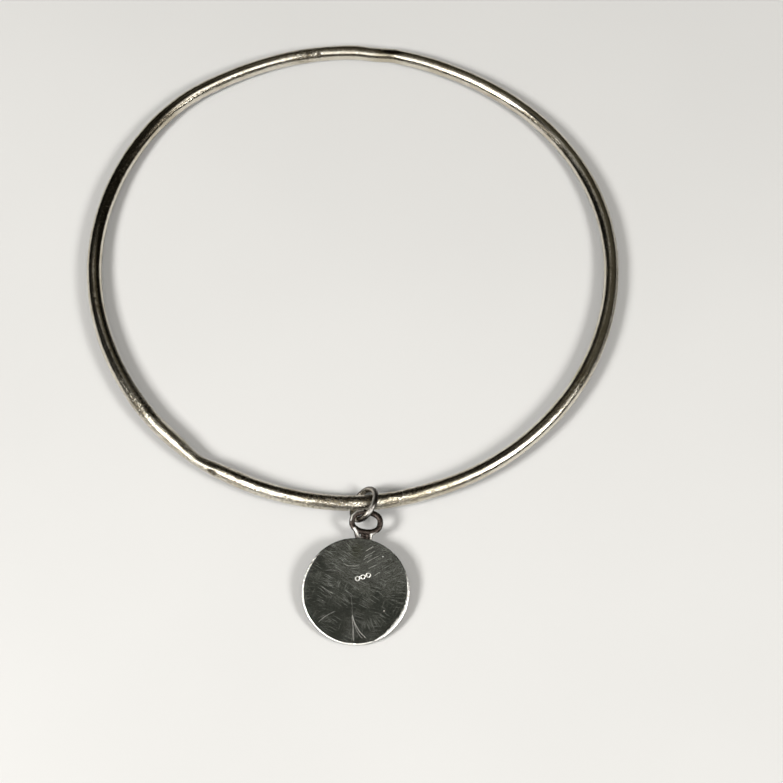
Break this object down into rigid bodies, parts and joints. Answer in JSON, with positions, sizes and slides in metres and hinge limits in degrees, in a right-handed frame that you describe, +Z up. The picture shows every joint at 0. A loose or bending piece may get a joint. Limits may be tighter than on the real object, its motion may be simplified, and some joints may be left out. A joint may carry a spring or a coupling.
{
  "type": "charm bangle",
  "caption": "Slim bangle of round silver wire, a little out of round, with a plain disc charm hung from it by a jump ring.",
  "frame": {"origin": "on the table, at the middle of the hoop as seen from above", "axes": "+Z up from the table it lies on, +Y away from the charm, +X to the right with the charm towards the viewer"},
  "size_m": [0.0719, 0.0871, 0.0042],
  "materials": {
    "hoop_silver": "polished silver, worn, with fine scratches, small dents and light olive tarnish",
    "ring_silver": "polished silver wire with darker tarnish where it rubs",
    "charm_silver": "silver with a hand-rubbed face of crossing scratches and a bright polished edge"
  },
  "bodies": {
    "root": {"bangle_hoop": "hoop_silver", "jump_ring": "ring_silver", "disc_charm": "charm_silver"}
  },
  "joints": []
}
